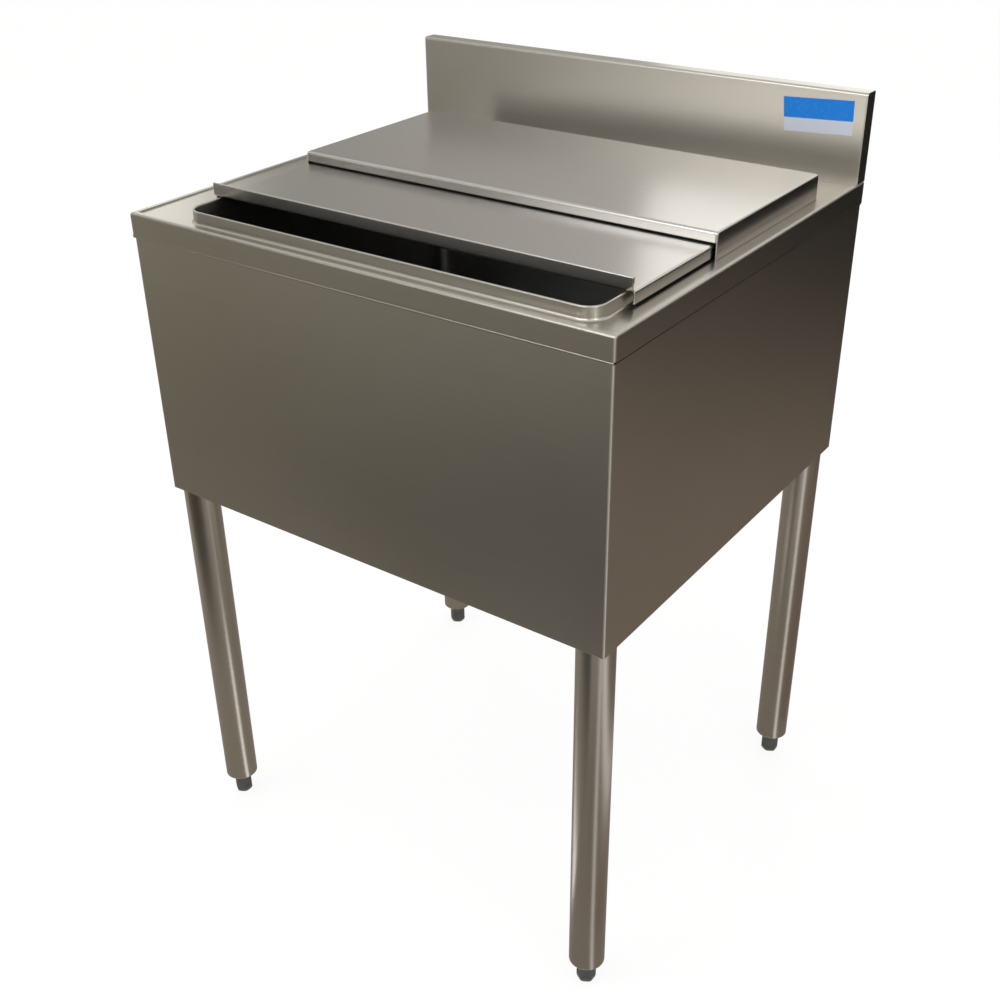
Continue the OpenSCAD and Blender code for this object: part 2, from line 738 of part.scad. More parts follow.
// Metal sleeve pressed in a leg's lower end, tapering down to the foot
module foot_sleeve(x, y) {
  bore = stud_d / 2 + stud_fit;
  color([0.50, 0.46, 0.41]) translate([x, y, 0]) rotate_extrude() polygon([
    [bore, sleeve_z],
    [nose_d / 2 - sleeve_edge, sleeve_z],
    [nose_d / 2, sleeve_z + sleeve_edge],
    [leg_r - sleeve_edge, leg_base_z - 2 * sleeve_edge],
    [leg_r, leg_base_z - sleeve_edge],
    [leg_r, leg_base_z - fit],
    [bore_r - fit, leg_base_z - fit],
    [bore_r - fit, leg_base_z + sleeve_in - sleeve_lead],
    [bore_r - fit - sleeve_lead, leg_base_z + sleeve_in],
    [bore, leg_base_z + sleeve_in]
  ]);
}

// Adjustable foot: hexagonal head with a rounded tread, and its stud
module foot(x, y) {
  corner_r = foot_af / 2 / cos(30);
  color([0.22, 0.23, 0.24]) translate([x, y, 0]) {
    intersection() {
      cylinder(h = foot_h, r = corner_r, $fn = 6);
      rotate_extrude() polygon([
        [0, 0],
        [corner_r - 3 * foot_edge, 0],
        [corner_r - foot_edge, foot_edge],
        [corner_r, 3 * foot_edge],
        [corner_r, foot_h - foot_edge],
        [corner_r - foot_edge, foot_h],
        [0, foot_h]
      ]);
    }
    cylinder_between(foot_h - cut, foot_h + foot_stud_h, stud_d / 2);
  }
}

module leg_nuts() {
  color([0.70, 0.70, 0.70]) leg_places() translate([0, 0, chan_z + chan_t + stud_washer_t]) difference() {
    cylinder(h = stud_nut_h, d = stud_nut_ratio * stud_d / cos(30), $fn = 6);
    translate([0, 0, -cut]) cylinder(h = stud_nut_h + 2 * cut, r = stud_d / 2 + fit);
  }
}

module leg_washers() {
  color([0.74, 0.74, 0.74]) leg_places() translate([0, 0, chan_z + chan_t]) difference() {
    cylinder(h = stud_washer_t, r = stud_d);
    translate([0, 0, -cut]) cylinder(h = stud_washer_t + 2 * cut, r = stud_d / 2 + fit);
  }
}

top_deck();
backsplash();
splash_end(-1);  // splash_end_left
splash_end(1);  // splash_end_right
outer_wrap();
back_panel();
bottom_pan();
bin_liner();
foam_insulation();
mount_channel(-1);  // mount_channel_left
mount_channel(1);  // mount_channel_right
cold_plate();
inlet_tubes();
outlet_tubes();
tube_seal_plate();
tube_grommets();
drain_body();
drain_strainer();
drain_gasket();
drain_washer();
drain_locknut();
front_lid();
rear_lid();
leg_tube(-leg_x, -leg_y);  // leg_front_left
leg_tube(leg_x, -leg_y);  // leg_front_right
leg_tube(-leg_x, leg_y);  // leg_back_left
leg_tube(leg_x, leg_y);  // leg_back_right
leg_plug(-leg_x, -leg_y);  // leg_plug_front_left
leg_plug(leg_x, -leg_y);  // leg_plug_front_right
leg_plug(-leg_x, leg_y);  // leg_plug_back_left
leg_plug(leg_x, leg_y);  // leg_plug_back_right
foot_sleeve(-leg_x, -leg_y);  // sleeve_front_left
foot_sleeve(leg_x, -leg_y);  // sleeve_front_right
foot_sleeve(-leg_x, leg_y);  // sleeve_back_left
foot_sleeve(leg_x, leg_y);  // sleeve_back_right
foot(-leg_x, -leg_y);  // foot_front_left
foot(leg_x, -leg_y);  // foot_front_right
foot(-leg_x, leg_y);  // foot_back_left
foot(leg_x, leg_y);  // foot_back_right
leg_nuts();
leg_washers();
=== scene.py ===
import bmesh
import bpy
import numpy as np
from mathutils import Matrix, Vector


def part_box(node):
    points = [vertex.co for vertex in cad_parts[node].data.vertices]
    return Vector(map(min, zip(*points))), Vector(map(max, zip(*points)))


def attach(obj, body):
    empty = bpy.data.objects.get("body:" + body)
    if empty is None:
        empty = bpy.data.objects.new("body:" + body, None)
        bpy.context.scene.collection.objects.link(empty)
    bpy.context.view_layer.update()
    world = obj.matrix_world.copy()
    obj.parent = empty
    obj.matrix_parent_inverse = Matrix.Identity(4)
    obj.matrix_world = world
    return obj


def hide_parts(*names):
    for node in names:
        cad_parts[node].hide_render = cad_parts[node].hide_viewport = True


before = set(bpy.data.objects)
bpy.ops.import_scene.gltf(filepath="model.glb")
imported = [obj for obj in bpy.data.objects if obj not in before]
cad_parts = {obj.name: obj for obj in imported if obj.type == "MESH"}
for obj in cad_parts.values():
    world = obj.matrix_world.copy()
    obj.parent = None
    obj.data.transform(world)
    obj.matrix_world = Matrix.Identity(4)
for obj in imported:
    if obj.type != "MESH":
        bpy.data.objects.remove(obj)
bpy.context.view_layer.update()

# Camera. It stands to the right of the bin's front and looks about 30 degrees down on it.
# Its place, turn and lens come from fitting a pinhole to the bin's corners, edges and legs.
eye = (0.8186, -1.1457, 1.2467)
pitch, yaw, roll = np.radians((29.968, 35.97, -0.793))
focal_over_width = 1.3014
forward = np.array((-np.sin(yaw) * np.cos(pitch), np.cos(yaw) * np.cos(pitch), -np.sin(pitch)))
level = np.array((np.cos(yaw), np.sin(yaw), 0.0))
upright = np.cross(level, forward)
stand = np.eye(4)
stand[:3, 0] = np.cos(roll) * level + np.sin(roll) * upright
stand[:3, 1] = np.cos(roll) * upright - np.sin(roll) * level
stand[:3, 2] = -forward
stand[:3, 3] = eye
camera = bpy.data.objects.new("camera", bpy.data.cameras.new("camera"))
camera.matrix_world = Matrix(stand)
camera.data.sensor_width = 36.0
camera.data.lens = camera.data.sensor_width * focal_over_width
bpy.context.scene.collection.objects.link(camera)
bpy.context.scene.camera = camera
bpy.context.scene.view_settings.view_transform = "Standard"


# Studio. A pale matt floor, a white surround and large soft lamps. Steel has no colour of its
# own and shows what stands round it, so tinted cards that only reflections see stand about.
def linear(code):
    """Linear RGBA of an sRGB hex colour: each channel undone by the sRGB curve."""
    channel = np.array([int(code[i:i + 2], 16) for i in (1, 3, 5)]) / 255
    low = channel / 12.92
    high = ((channel + 0.055) / 1.055) ** 2.4
    return (*np.where(channel <= 0.04045, low, high).tolist(), 1.0)


def add(tree, kind, inputs, **settings):
    """Adds one shader node, sets it up, and feeds its sockets with values or other sockets.
    A socket goes by its name, or by its number where several share one: of a Mix node, 0 is
    the share, 2 and 3 are the numbers mixed, and 6 and 7 the colours."""
    node = tree.nodes.new("ShaderNode" + kind)
    for name, value in settings.items():
        setattr(node, name, value)
    for socket, value in inputs.items():
        if isinstance(value, bpy.types.NodeSocket):
            tree.links.new(value, node.inputs[socket])
        else:
            node.inputs[socket].default_value = value
    return node


def blank(owner):
    """Gives a material or world an empty node tree."""
    owner.use_nodes = True
    owner.node_tree.nodes.clear()
    return owner.node_tree


def skin(name, points, round_first=False, round_second=False):
    """Mesh object of a grid of points: each face joins neighbours in both directions of it, and
    a round direction joins its last points to its first too."""
    rows, columns = points.shape[:2]
    index = np.arange(rows * columns).reshape(rows, columns)
    if round_first:
        index = np.vstack((index, index[:1]))
    if round_second:
        index = np.hstack((index, index[:, :1]))
    faces = np.stack((index[:-1, :-1], index[:-1, 1:], index[1:, 1:], index[1:, :-1]), axis=-1)
    mesh = bpy.data.meshes.new(name)
    mesh.from_pydata(points.reshape(-1, 3).tolist(), [], faces.reshape(-1, 4).tolist())
    piece = bpy.data.objects.new(name, mesh)
    bpy.context.scene.collection.objects.link(piece)
    return piece


def patch(corner, first_side, second_side, steps=2):
    """Grid of a flat patch: its corner plus shares of its two sides."""
    share = np.linspace(0.0, 1.0, steps)
    across = share[:, None, None] * np.array(first_side)
    along = share[None, :, None] * np.array(second_side)
    return np.array(corner) + across + along


floor_half = 9.0
floor_side = 2 * floor_half
floor_corner = (-floor_half, -floor_half, 0)
floor = skin("studio_floor", patch(floor_corner, (floor_side, 0, 0), (0, floor_side, 0)))

# to the camera and in mirrors the floor is mostly glow, which is white, and partly paint,
# which keeps the bin's shadow; to everything else it is paint alone
floor_glow_share, floor_glow = 0.78, 1.1
matt_floor = bpy.data.materials.new("matt_white_floor")
tree = blank(matt_floor)
path = add(tree, "LightPath", {})
direct_ray, mirror_ray = path.outputs["Is Camera Ray"], path.outputs["Is Glossy Ray"]
seen = add(tree, "Math", {0: direct_ray, 1: mirror_ray}, operation="MAXIMUM")
lift = add(tree, "Math", {0: seen.outputs[0], 1: floor_glow_share}, operation="MULTIPLY")
paint = add(tree, "BsdfDiffuse", {"Color": linear("#f2f1ef")})
glow = add(tree, "Emission", {"Color": linear("#ffffff"), "Strength": floor_glow})
both = add(tree, "MixShader", {0: lift.outputs[0], 1: paint.outputs[0], 2: glow.outputs[0]})
add(tree, "OutputMaterial", {"Surface": both.outputs[0]})
floor.data.materials.append(matt_floor)

# the surround lights the bin more weakly than it shows to the camera and in mirrors
surround_light, surround_seen = 0.7, 1.0
surround = bpy.data.worlds.new("white_surround")
bpy.context.scene.world = surround
tree = blank(surround)
path = add(tree, "LightPath", {})
mirror_ray, through_ray = path.outputs["Is Glossy Ray"], path.outputs["Is Transmission Ray"]
bent = add(tree, "Math", {0: mirror_ray, 1: through_ray}, operation="MAXIMUM")
direct_ray = path.outputs["Is Camera Ray"]
seen = add(tree, "Math", {0: direct_ray, 1: bent.outputs[0]}, operation="MAXIMUM")
dim = add(tree, "Background", {"Color": linear("#ffffff"), "Strength": surround_light})
white = add(tree, "Background", {"Color": linear("#ffffff"), "Strength": surround_seen})
both = add(tree, "MixShader", {0: seen.outputs[0], 1: dim.outputs[0], 2: white.outputs[0]})
add(tree, "OutputWorld", {"Surface": both.outputs[0]})


def aimed(place, target):
    """Matrix of a thing at place whose minus Z looks at target, with its sides kept level. Up
    leans a little, so that a thing right above its target has a side too."""
    nearly_up = (0.0, 0.001, 1.0)
    back = np.subtract(place, target)
    back = back / np.linalg.norm(back)
    side = np.cross(nearly_up, back)
    side = side / np.linalg.norm(side)
    matrix = np.eye(4)
    matrix[:3, 0] = side
    matrix[:3, 1] = np.cross(back, side)
    matrix[:3, 2] = back
    matrix[:3, 3] = place
    return matrix


# softboxes: a place, a width, a height and a power in watts; the key one isn't mirrored,
# since the cards give the steel what it shows there
bin_middle = (0.0, 0.0, 0.7)
softboxes = (
    ("key_softbox", (-1.8, -2.6, 3.0), 3.0, 3.0, 30.0),
    ("fill_softbox", (2.4, -1.4, 1.9), 1.8, 1.8, 11.9),
    ("back_softbox", (-0.75, 2.85, 1.75), 1.2, 1.8, 7.9),
    ("left_softbox", (-2.79, 1.76, 1.77), 0.4, 1.2, 3.3),
)
for name, place, width, height, watts in softboxes:
    lamp = bpy.data.lights.new(name, "AREA")
    lamp.shape = "RECTANGLE"
    lamp.size = width
    lamp.size_y = height
    lamp.energy = watts
    softbox = bpy.data.objects.new(name, lamp)
    softbox.matrix_world = Matrix(aimed(place, bin_middle))
    softbox.visible_glossy = name != "key_softbox"
    bpy.context.scene.collection.objects.link(softbox)

# cards: a corner, two sides, the line along which the tone runs, the tones at its ends and
# the strength of both; those on the floor lie a few millimetres over it and over each other
low_card, mid_card, high_card = 0.004, 0.005, 0.006
cards = (
    ("card_floor_near", (-3.4, -2.4, low_card), (3.76, 0, 0), (0, 1.65, 0),
     (-0.5, -1.04, 0), (-2.3, -1.9, 0), "#1d1107", "#a09880", 1.0),
    ("card_floor_foot", (-3.4, -0.75, low_card), (3.76, 0, 0), (0, 2.4, 0),
     (0.36, 0, 0), (-3.4, 0, 0), "#978f85", "#dcd6ca", 1.0),
    ("card_floor_corner", (0.36, -2.4, low_card), (2.4, 0, 0), (0, 1.7, 0),
     (0.36, -0.7, 0), (2.7, -2.4, 0), "#a7a8a6", "#aaabaa", 1.0),
    ("card_floor_far", (-5.0, -5.2, low_card), (7.5, 0, 0), (0, 2.8, 0),
     (-0.8, -3.0, 0), (-3.2, -3.0, 0), "#948a78", "#9c9e9b", 1.0),
    ("card_wall_front_foot", (-6.0, -5.2, 0), (8.5, 0, 0), (0, 0, 0.9),
     (-1.5, -5.2, 0), (-5.0, -5.2, 0), "#d2c6ad", "#b0b2b0", 1.0),
    ("card_wall_front_left", (-9.0, -5.15, 0), (4.1, 0, 0), (0, 0, 4.8),
     (-5.0, -5.15, 0), (-9.0, -5.15, 0), "#6d6f69", "#6d6f69", 1.0),
    ("card_wall_front_low", (-6.0, -5.2, 0.9), (8.5, 0, 0), (0, 0, 1.5),
     (-1.8, -5.2, 0), (-4.4, -5.2, 0), "#726e60", "#f7f9fb", 2.3),
    ("card_wall_front_high", (-6.0, -5.2, 2.4), (8.5, 0, 0), (0, 0, 2.4),
     (-2.5, -5.2, 0), (-3.8, -5.2, 0), "#f4f8ff", "#020202", 6.9),
    ("card_floor_right", (0.36, -0.7, mid_card), (3.4, 0, 0), (0, 5.0, 0),
     (0.62, 0.9, 0), (1.2, 2.3, 0), "#8b7d71", "#080706", 1.0),
    ("card_wall_right_high", (0.7, 3.6, 2.0), (3.6, 0, 0), (0, 0, 1.6),
     (0.7, 3.6, 0), (4.3, 3.6, 0), "#f2efec", "#f2efec", 1.6),
    ("card_wall_right", (0.7, 3.6, 0), (3.6, 0, 0), (0, 0, 2.0),
     (0.7, 3.6, 0), (4.3, 3.6, 0), "#070707", "#070707", 1.0),
    ("card_wall_left", (-3.3, 1.5, 0.2), (2.2, 1.9, 0), (0, 0, 3.0),
     (-3.3, 1.5, 0), (-1.1, 3.4, 0), "#8a8a84", "#e2deda", 1.0),
    ("card_strip_right", (2.074, -1.053, 1.0), (0.06, 0.148, 0), (0, 0, 1.4),
     (2.074, -1.053, 0), (2.134, -0.905, 0), "#ffffff", "#ffffff", 9.0),
)
sheets = [(name, patch(corner, first_side, second_side), *tones)
          for name, corner, first_side, second_side, *tones in cards]
# white wedges on the floor, each from a leg outwards, give the legs an upright streak: the
# leg's place, the way the wedge points in degrees, its length, spread and strength
wedges = ((0.28, -0.246, -31, 3.2, 0.3, 0.9), (0.28, 0.246, -41, 1.4, 0.3, 1.3),
          (-0.28, -0.246, -11, 0.42, 0.3, 1.8))
wedge_start = 0.03
for x, y, turn, length, spread, power in wedges:
    way = np.array((np.cos(np.radians(turn)), np.sin(np.radians(turn)), 0.0))
    beside = np.array((-way[1], way[0], 0.0)) * spread / 2
    tip = np.array((x, y, high_card))
    wedge = np.array([[tip + reach * (way + side * beside) for side in (-1, 1)]
                      for reach in (wedge_start, length)])
    sheets.append(("card_wedge_%d" % -turn, wedge, tip, tip + way, "#ffffff", "#ffffff", power))
for name, points, start, end, start_tone, end_tone, strength in sheets:
    card = skin(name, points)
    card.visible_camera = False
    card.visible_diffuse = False
    card.visible_shadow = False
    cloth = bpy.data.materials.new(name + "_cloth")
    tree = blank(cloth)
    # the share along the run is the place dotted with the run over its length squared, less
    # the same for the run's start
    run = np.subtract(end, start)
    run = run / (run @ run)
    place = add(tree, "TexCoord", {}).outputs["Object"]
    step = add(tree, "VectorMath", {0: place, 1: run.tolist()}, operation="DOT_PRODUCT")
    offset = float(run @ np.array(start))
    share = add(tree, "MapRange", {"Value": step.outputs["Value"], "From Min": offset,
                                   "From Max": offset + 1.0})
    tone = add(tree, "Mix", {0: share.outputs[0], 6: linear(start_tone), 7: linear(end_tone)},
               data_type="RGBA")
    glow = add(tree, "Emission", {"Color": tone.outputs[2], "Strength": strength})
    add(tree, "OutputMaterial", {"Surface": glow.outputs[0]})
    card.data.materials.append(cloth)


# Top deck, backsplash and its end caps: 304 stainless sheet, folded, welded and brushed along
# the width with a grit belt, so reflections stay sharp sideways and smear across the grain.
def dress(material, *nodes):
    """Puts a material on CAD nodes, in place of what they were loaded with."""
    for node in nodes:
        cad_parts[node].data.materials.clear()
        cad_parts[node].data.materials.append(material)


def brushed_stainless(name, tone, shade, roughness, wave=0.0003, smear=0.7):
    """Belt-brushed stainless. Grain lines 0.5 mm apart and about 150 mm long, coarser than the
    real 0.1 mm so that they show, run level round the piece: on upright faces the noise is
    stretched along X and Y, on flat ones along X alone. Lines change the colour and the gloss
    a little, slow waves in the sheet bend what it mirrors, and the 0.8 mm that every cut or
    folded edge is eased by catches the light. The tangent, which is the face's direction
    crossed with the grain's, lies across the grain, the way that mirrored things smear. The
    grain's has a little Y in it, so that the end faces get a tangent too."""
    material = bpy.data.materials.new(name)
    tree = blank(material)
    grain_width, grain_length, wave_length, eased_edge = 0.0005, 0.15, 0.22, 0.0008
    cloud_share, noise_low, noise_high, gloss_spread = 0.35, 0.3, 0.7, 0.012
    scratch_depth, scratch_strength = 0.00001, 0.12
    grain_way = (1.0, 0.01, 0.0)
    place = add(tree, "TexCoord", {}).outputs["Object"]
    facing = add(tree, "NewGeometry", {}).outputs["Normal"]
    fine, slow = 1 / grain_width, 1 / grain_length
    parts = add(tree, "SeparateXYZ", {0: facing})
    flatness = add(tree, "Math", {0: parts.outputs["Z"]}, operation="ABSOLUTE")
    y_scale = add(tree, "MapRange", {"Value": flatness.outputs[0], "To Min": slow, "To Max": fine})
    scales = add(tree, "CombineXYZ", {"X": slow, "Y": y_scale.outputs[0], "Z": fine})
    lines = add(tree, "VectorMath", {0: place, 1: scales.outputs[0]}, operation="MULTIPLY")
    grain = add(tree, "TexNoise", {"Vector": lines.outputs[0], "Scale": 1.0, "Detail": 3.0,
                                   "Roughness": 0.6})
    cloud = add(tree, "TexNoise", {"Vector": place, "Scale": 1 / wave_length, "Detail": 2.0})
    mix = add(tree, "Mix", {0: cloud_share, 2: grain.outputs[0], 3: cloud.outputs[0]})
    tint = add(tree, "MapRange", {"Value": mix.outputs[0], "From Min": noise_low,
                                  "From Max": noise_high})
    colour = add(tree, "Mix", {0: tint.outputs[0], 6: linear(shade), 7: linear(tone)},
                 data_type="RGBA")
    gloss = add(tree, "MapRange", {"Value": mix.outputs[0], "From Min": noise_low,
                                   "From Max": noise_high, "To Min": roughness - gloss_spread,
                                   "To Max": roughness + gloss_spread})
    edge = add(tree, "Bevel", {"Radius": eased_edge}, samples=4)
    sheet = add(tree, "Bump", {"Height": cloud.outputs[0], "Strength": 1.0, "Distance": wave,
                               "Normal": edge.outputs[0]})
    scratch = add(tree, "Bump", {"Height": grain.outputs[0], "Strength": scratch_strength,
                                 "Distance": scratch_depth, "Normal": sheet.outputs[0]})
    across = add(tree, "VectorMath", {0: facing, 1: grain_way}, operation="CROSS_PRODUCT")
    tangent = add(tree, "VectorMath", {0: across.outputs[0]}, operation="NORMALIZE")
    steel = add(tree, "BsdfPrincipled", {
        "Base Color": colour.outputs[2], "Metallic": 1.0, "Roughness": gloss.outputs[0],
        "Anisotropic": smear, "Normal": scratch.outputs[0], "Tangent": tangent.outputs[0]})
    add(tree, "OutputMaterial", {"Surface": steel.outputs[0]})
    return material


top_steel = brushed_stainless("brushed_stainless_top", "#b0aba1", "#a9a49a", 0.30)
dress(top_steel, "top_deck", "backsplash", "splash_end_left", "splash_end_right")


# Hem of the band: the sheet's front lower edge folded back on itself, so that it ends in a
# round about 3 mm high instead of a cut edge. The side edges stay cut.
def closed(piece):
    """Merges doubled points, so poles and seams are shut, turns the faces outwards, and keeps
    edges over 30 degrees sharp."""
    same_point, no_length, sharp = 1e-6, 1e-7, np.radians(30)
    work = bmesh.new()
    work.from_mesh(piece.data)
    bmesh.ops.remove_doubles(work, verts=work.verts, dist=same_point)
    bmesh.ops.dissolve_degenerate(work, edges=work.edges, dist=no_length)
    bmesh.ops.recalc_face_normals(work, faces=work.faces)
    work.to_mesh(piece.data)
    work.free()
    piece.data.shade_smooth()
    piece.data.set_sharp_from_angle(angle=sharp)
    return piece


def round_bar(name, first, last, sideways, half_width, half_height):
    """Closed bar between two points. Its section is an ellipse, half its width times the
    cosine of the angle round it sideways, and half its height times the sine upwards. Each
    end closes on its point."""
    facets = 16
    around = np.linspace(0, 2 * np.pi, facets, endpoint=False)[:, None]
    section = (half_width * np.cos(around) * np.array(sideways)
               + half_height * np.sin(around) * np.array((0.0, 0.0, 1.0)))
    first, last = np.array(first), np.array(last)
    points = np.stack((first + 0 * section, first + section, last + section, last + 0 * section))
    return closed(skin(name, points, round_second=True))


hem_half_depth, hem_half_height = 0.00075, 0.0014
hem_half_length, hem_front, hem_z = 0.3035, -0.269125, 0.7942
hem = round_bar("band_hem", (-hem_half_length, hem_front, hem_z),
                (hem_half_length, hem_front, hem_z), (0.0, -1.0, 0.0), hem_half_depth,
                hem_half_height)
hem.data.materials.append(top_steel)
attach(hem, "bin")

# Outer wrap: the apron and both sides, one sheet of stainless folded round the front corners.
# Thinner sheet than the top, brushed level, and a little more wavy from the foam behind it.
wrap_steel = brushed_stainless("brushed_stainless_wrap", "#b4afa5", "#aca79d", 0.31, wave=0.0006)
dress(wrap_steel, "outer_wrap")


# Back panel, bottom pan and the two leg channels: hot-dip galvanised steel, folded and riveted.
# The zinc froze in flat crystals about 9 mm across, each a slightly different grey.
def galvanised_steel(name, tone, shade):
    """Zinc spangle: each crystal of a Voronoi pattern has its own grey, gloss and tilt."""
    material = bpy.data.materials.new(name)
    tree = blank(material)
    crystal, frost_grain, frost_share = 0.009, 0.0012, 0.25
    smooth, rough, tilt, tilt_strength = 0.38, 0.55, 0.00004, 0.6
    place = add(tree, "TexCoord", {}).outputs["Object"]
    spangle = add(tree, "TexVoronoi", {"Vector": place, "Scale": 1 / crystal})
    own_grey = add(tree, "SeparateColor", {0: spangle.outputs["Color"]})
    frost = add(tree, "TexNoise", {"Vector": place, "Scale": 1 / frost_grain, "Detail": 2.0})
    mix = add(tree, "Mix", {0: frost_share, 2: own_grey.outputs[0], 3: frost.outputs[0]})
    colour = add(tree, "Mix", {0: mix.outputs[0], 6: linear(shade), 7: linear(tone)},
                 data_type="RGBA")
    gloss = add(tree, "MapRange", {"Value": own_grey.outputs[1], "To Min": smooth,
                                   "To Max": rough})
    relief = add(tree, "Bump", {"Height": own_grey.outputs[2], "Strength": tilt_strength,
                                "Distance": tilt})
    zinc = add(tree, "BsdfPrincipled", {
        "Base Color": colour.outputs[2], "Metallic": 1.0, "Roughness": gloss.outputs[0],
        "Normal": relief.outputs[0]})
    add(tree, "OutputMaterial", {"Surface": zinc.outputs[0]})
    return material


spangled = galvanised_steel("galvanised_steel_sheet", "#b1b5b5", "#979c9d")
dress(spangled, "back_panel", "bottom_pan", "mount_channel_left", "mount_channel_right")

# Liner: the stainless tub that holds the ice, deep drawn with coved corners, welded into the
# deck's opening and brushed afterwards.
liner_steel = brushed_stainless("brushed_stainless_liner", "#a8a69f", "#9e9b94", 0.36)
dress(liner_steel, "bin_liner")


# Foam insulation: polyurethane poured between liner and body, where it rises and sets. Cut
# faces show closed cells about 1 mm across in a cream that yellows.
def fine_grained(name, tone, shade, grain, depth, roughness, metallic=0.0):
    """A material with one even grain: noise of that grain size, and patches about seventeen
    grains wide, mix its two tones. The grain is relief of that depth too, and the patches
    change the gloss."""
    material = bpy.data.materials.new(name)
    tree = blank(material)
    patches_a_grain, patch_share, noise_low, noise_high = 0.06, 0.5, 0.35, 0.65
    relief_strength, gloss_spread = 0.5, 0.08
    place = add(tree, "TexCoord", {}).outputs["Object"]
    speck = add(tree, "TexNoise", {"Vector": place, "Scale": 1 / grain, "Detail": 4.0})
    patchy = add(tree, "TexNoise", {"Vector": place, "Scale": patches_a_grain / grain,
                                    "Detail": 2.0})
    mix = add(tree, "Mix", {0: patch_share, 2: speck.outputs[0], 3: patchy.outputs[0]})
    tint = add(tree, "MapRange", {"Value": mix.outputs[0], "From Min": noise_low,
                                  "From Max": noise_high})
    colour = add(tree, "Mix", {0: tint.outputs[0], 6: linear(shade), 7: linear(tone)},
                 data_type="RGBA")
    relief = add(tree, "Bump", {"Height": speck.outputs[0], "Strength": relief_strength,
                                "Distance": depth})
    gloss = add(tree, "MapRange", {"Value": patchy.outputs[0],
                                   "To Min": roughness - gloss_spread,
                                   "To Max": roughness + gloss_spread})
    body = add(tree, "BsdfPrincipled", {
        "Base Color": colour.outputs[2], "Metallic": metallic, "Roughness": gloss.outputs[0],
        "Normal": relief.outputs[0]})
    add(tree, "OutputMaterial", {"Surface": body.outputs[0]})
    return material


dress(fine_grained("rigid_polyurethane_foam", "#dccf9d", "#c4b27c", 0.001, 0.0004, 0.85),
      "foam_insulation")

# Cold plate: aluminium cast round the product tubes in a sand mould, which leaves a grain of
# about 1.5 mm, then wiped with a wire wheel. It lies on the liner's floor on four feet.
dress(fine_grained("sand_cast_aluminium", "#b4b5b3", "#989a99", 0.0015, 0.0002, 0.46, 1.0),
      "cold_plate")

# Product tubes and the plate that seals them into the floor: drawn stainless tube, bright from
# the die with faint 0.4 mm drawing marks, and a plate of the same finish brazed round them.
dress(fine_grained("drawn_stainless_tube", "#c1bdb5", "#aca8a0", 0.0004, 0.00002, 0.24, 1.0),
      "inlet_tubes", "outlet_tubes", "tube_seal_plate")

# Grommets round the tubes and the drain's gasket: moulded black nitrile rubber, matt, with a
# dusty bloom.
dress(fine_grained("moulded_black_rubber", "#262627", "#171718", 0.0008, 0.00005, 0.62),
      "tube_grommets", "drain_gasket")

# Fibre washer between the drain's gasket and its locknut: vulcanised fibre, red-brown, stamped
# from sheet. The nut slips on it, so that tightening doesn't twist the rubber.
dress(fine_grained("vulcanised_fibre", "#8a3b2c", "#6f2b20", 0.0006, 0.00004, 0.7),
      "drain_washer")


# Side edges of the band: the sheet is sheared there instead of folded, which leaves an edge drawn
# down a little.
# The bar's dull dark colour is painted shade for the shadow in the gap between the band and the
# wrap. It shows as a dark line along each side.
# the bar's near-black browns are painted shade: they stand for the shadow in the gap under the
# band
sheared_edge_gap_shade = fine_grained("sheared_edge_painted_gap_shade", "#35312c", "#26231f", 0.0006, 0.00004, 0.6, 1.0)
edge_x, edge_z, edge_half_length = 0.30415, 0.79495, 0.269
edge_half_width, edge_half_height = 0.0006, 0.0013
for side, x in (("left", -edge_x), ("right", edge_x)):
    edge = round_bar("band_edge_gap_shade_" + side, (x, -edge_half_length, edge_z),
                     (x, edge_half_length, edge_z), (1.0, 0.0, 0.0), edge_half_width,
                     edge_half_height)
    edge.data.materials.append(sheared_edge_gap_shade)
    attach(edge, "bin")


# Drain fitting: turned from stainless bar, with a flange that lies on the liner's floor and a
# 1 inch pipe thread on its tail. The strainer drops into it and the locknut pulls it down.
def tooth(height, angle, pitch):
    """Share of a thread's depth at a height and angle: 0 in the root and 1 on the crest. The
    ridge is a triangle wave of the height less what the thread climbs over the angle, with
    its tips cut flat."""
    steepness, flat = 1.4, 0.2
    turns = height / pitch - angle / (2 * np.pi)
    triangle = 1 - np.abs(2 * (turns % 1) - 1)
    return np.clip(steepness * triangle - flat, 0, 1)


def around_axis(radius, height, angle, centre):
    """Points round an upright axis: the centre plus the radius times the angle's cosine and
    sine, at the height."""
    x = centre[0] + radius * np.cos(angle)
    y = centre[1] + radius * np.sin(angle)
    return np.stack((x, y, np.broadcast_to(height, x.shape)), axis=-1)


